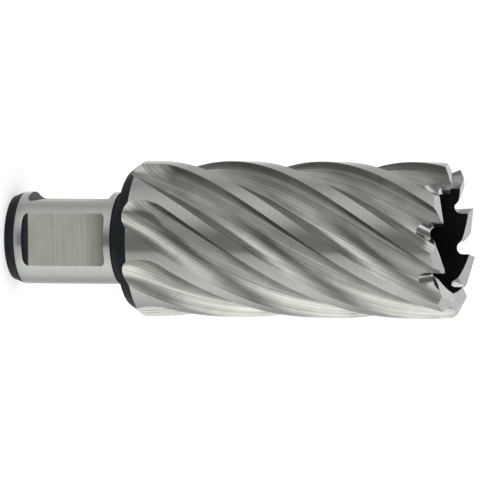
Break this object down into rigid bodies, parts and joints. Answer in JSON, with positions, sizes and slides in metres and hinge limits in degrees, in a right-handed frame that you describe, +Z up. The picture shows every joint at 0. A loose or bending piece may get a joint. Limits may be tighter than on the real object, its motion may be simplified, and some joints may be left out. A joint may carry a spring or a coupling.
{
  "type": "annular cutter",
  "caption": "Hollow cylindrical hole cutter with helical flutes, ground teeth round an open end and a straight shank with clamping flats.",
  "frame": {"origin": "centre of the shank's end face, on the axis", "axes": "+Z up the axis from the shank to the teeth; the clamping flats face -Y and -X"},
  "size_m": [0.032, 0.032, 0.0947],
  "materials": {
    "tool_steel": "ground, with black heat-treated skin on the shoulder and in the hollow"
  },
  "bodies": {
    "root": {"annular_cutter": "tool_steel"}
  },
  "joints": []
}
